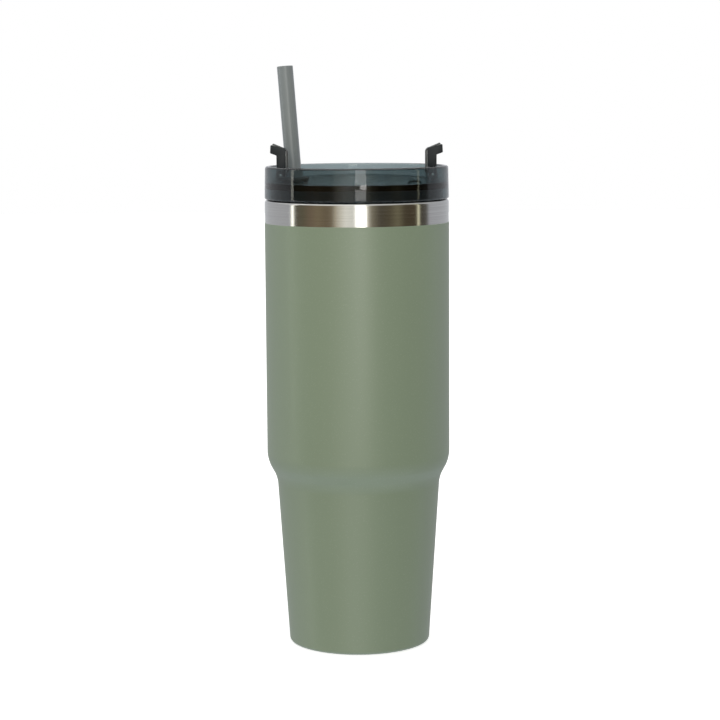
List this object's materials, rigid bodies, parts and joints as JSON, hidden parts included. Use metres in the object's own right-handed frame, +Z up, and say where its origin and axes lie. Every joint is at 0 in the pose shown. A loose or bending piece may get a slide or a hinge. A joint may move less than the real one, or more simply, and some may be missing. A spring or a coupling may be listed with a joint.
{
  "type": "insulated tumbler",
  "caption": "Tall double-wall steel tumbler with a narrow cup-holder foot, a clear press-in lid with flip stoppers, and a straw.",
  "frame": {"origin": "centre of the foot, in the plane the cup stands on", "axes": "+Z up along the cup's axis; the front is -Y; the sip stopper is at +X and the vent stopper at -X"},
  "size_m": [0.0922, 0.0922, 0.2908],
  "materials": {
    "bare_steel": "brushed round the cup",
    "wet_steel": "polished and passivated",
    "green_coat": "satin powder coat, sage green",
    "solder": "fused glass solder",
    "foil": "bright copper foil",
    "getter": "sintered metal pellet",
    "smoke_plastic": "see-through smoke-grey plastic, glossy",
    "black_plastic": "satin black",
    "silicone_grey": "matt silicone, dark grey",
    "straw_plastic": "frosted grey plastic"
  },
  "bodies": {
    "cup": {"outer_shell": "bare_steel", "powder_coat": "green_coat", "inner_liner": "wet_steel", "outer_base": "wet_steel", "base_cover": "bare_steel", "vacuum_seal": "solder", "radiation_foil": "foil", "getter_pellet": "getter", "getter_clip": "wet_steel"},
    "lid_seal": {"lid_gasket": "silicone_grey"},
    "lid": {"lid_shell": "smoke_plastic", "lid_plug": "black_plastic", "straw_grommet": "silicone_grey", "sip_hinge_pin": "wet_steel", "vent_hinge_pin": "wet_steel"},
    "sip_stopper": {"sip_lever": "black_plastic", "sip_pad": "silicone_grey"},
    "vent_stopper": {"vent_lever": "black_plastic", "vent_pad": "silicone_grey"},
    "straw": {"straw": "straw_plastic"}
  },
  "joints": [
    {"name": "lid_lift", "type": "slide", "parent": "cup", "child": "lid_seal", "axis": [0, 0, 1], "range_m": [0, 0.24]},
    {"name": "lid_turn", "type": "hinge", "parent": "lid_seal", "child": "lid", "pos_m": [0, 0, 0.2245], "axis": [0, 0, 1], "continuous": true},
    {"name": "sip_flip", "type": "hinge", "parent": "lid", "child": "sip_stopper", "pos_m": [0.0375, 0, 0.2356], "axis": [0, -1, 0], "range_deg": [0, 90]},
    {"name": "vent_flip", "type": "hinge", "parent": "lid", "child": "vent_stopper", "pos_m": [-0.0375, 0, 0.2356], "axis": [0, 1, 0], "range_deg": [0, 90]},
    {"name": "straw_pull", "type": "slide", "parent": "lid", "child": "straw", "axis": [-0.0742, 0.0341, 0.9967], "range_m": [0, 0.24]}
  ]
}
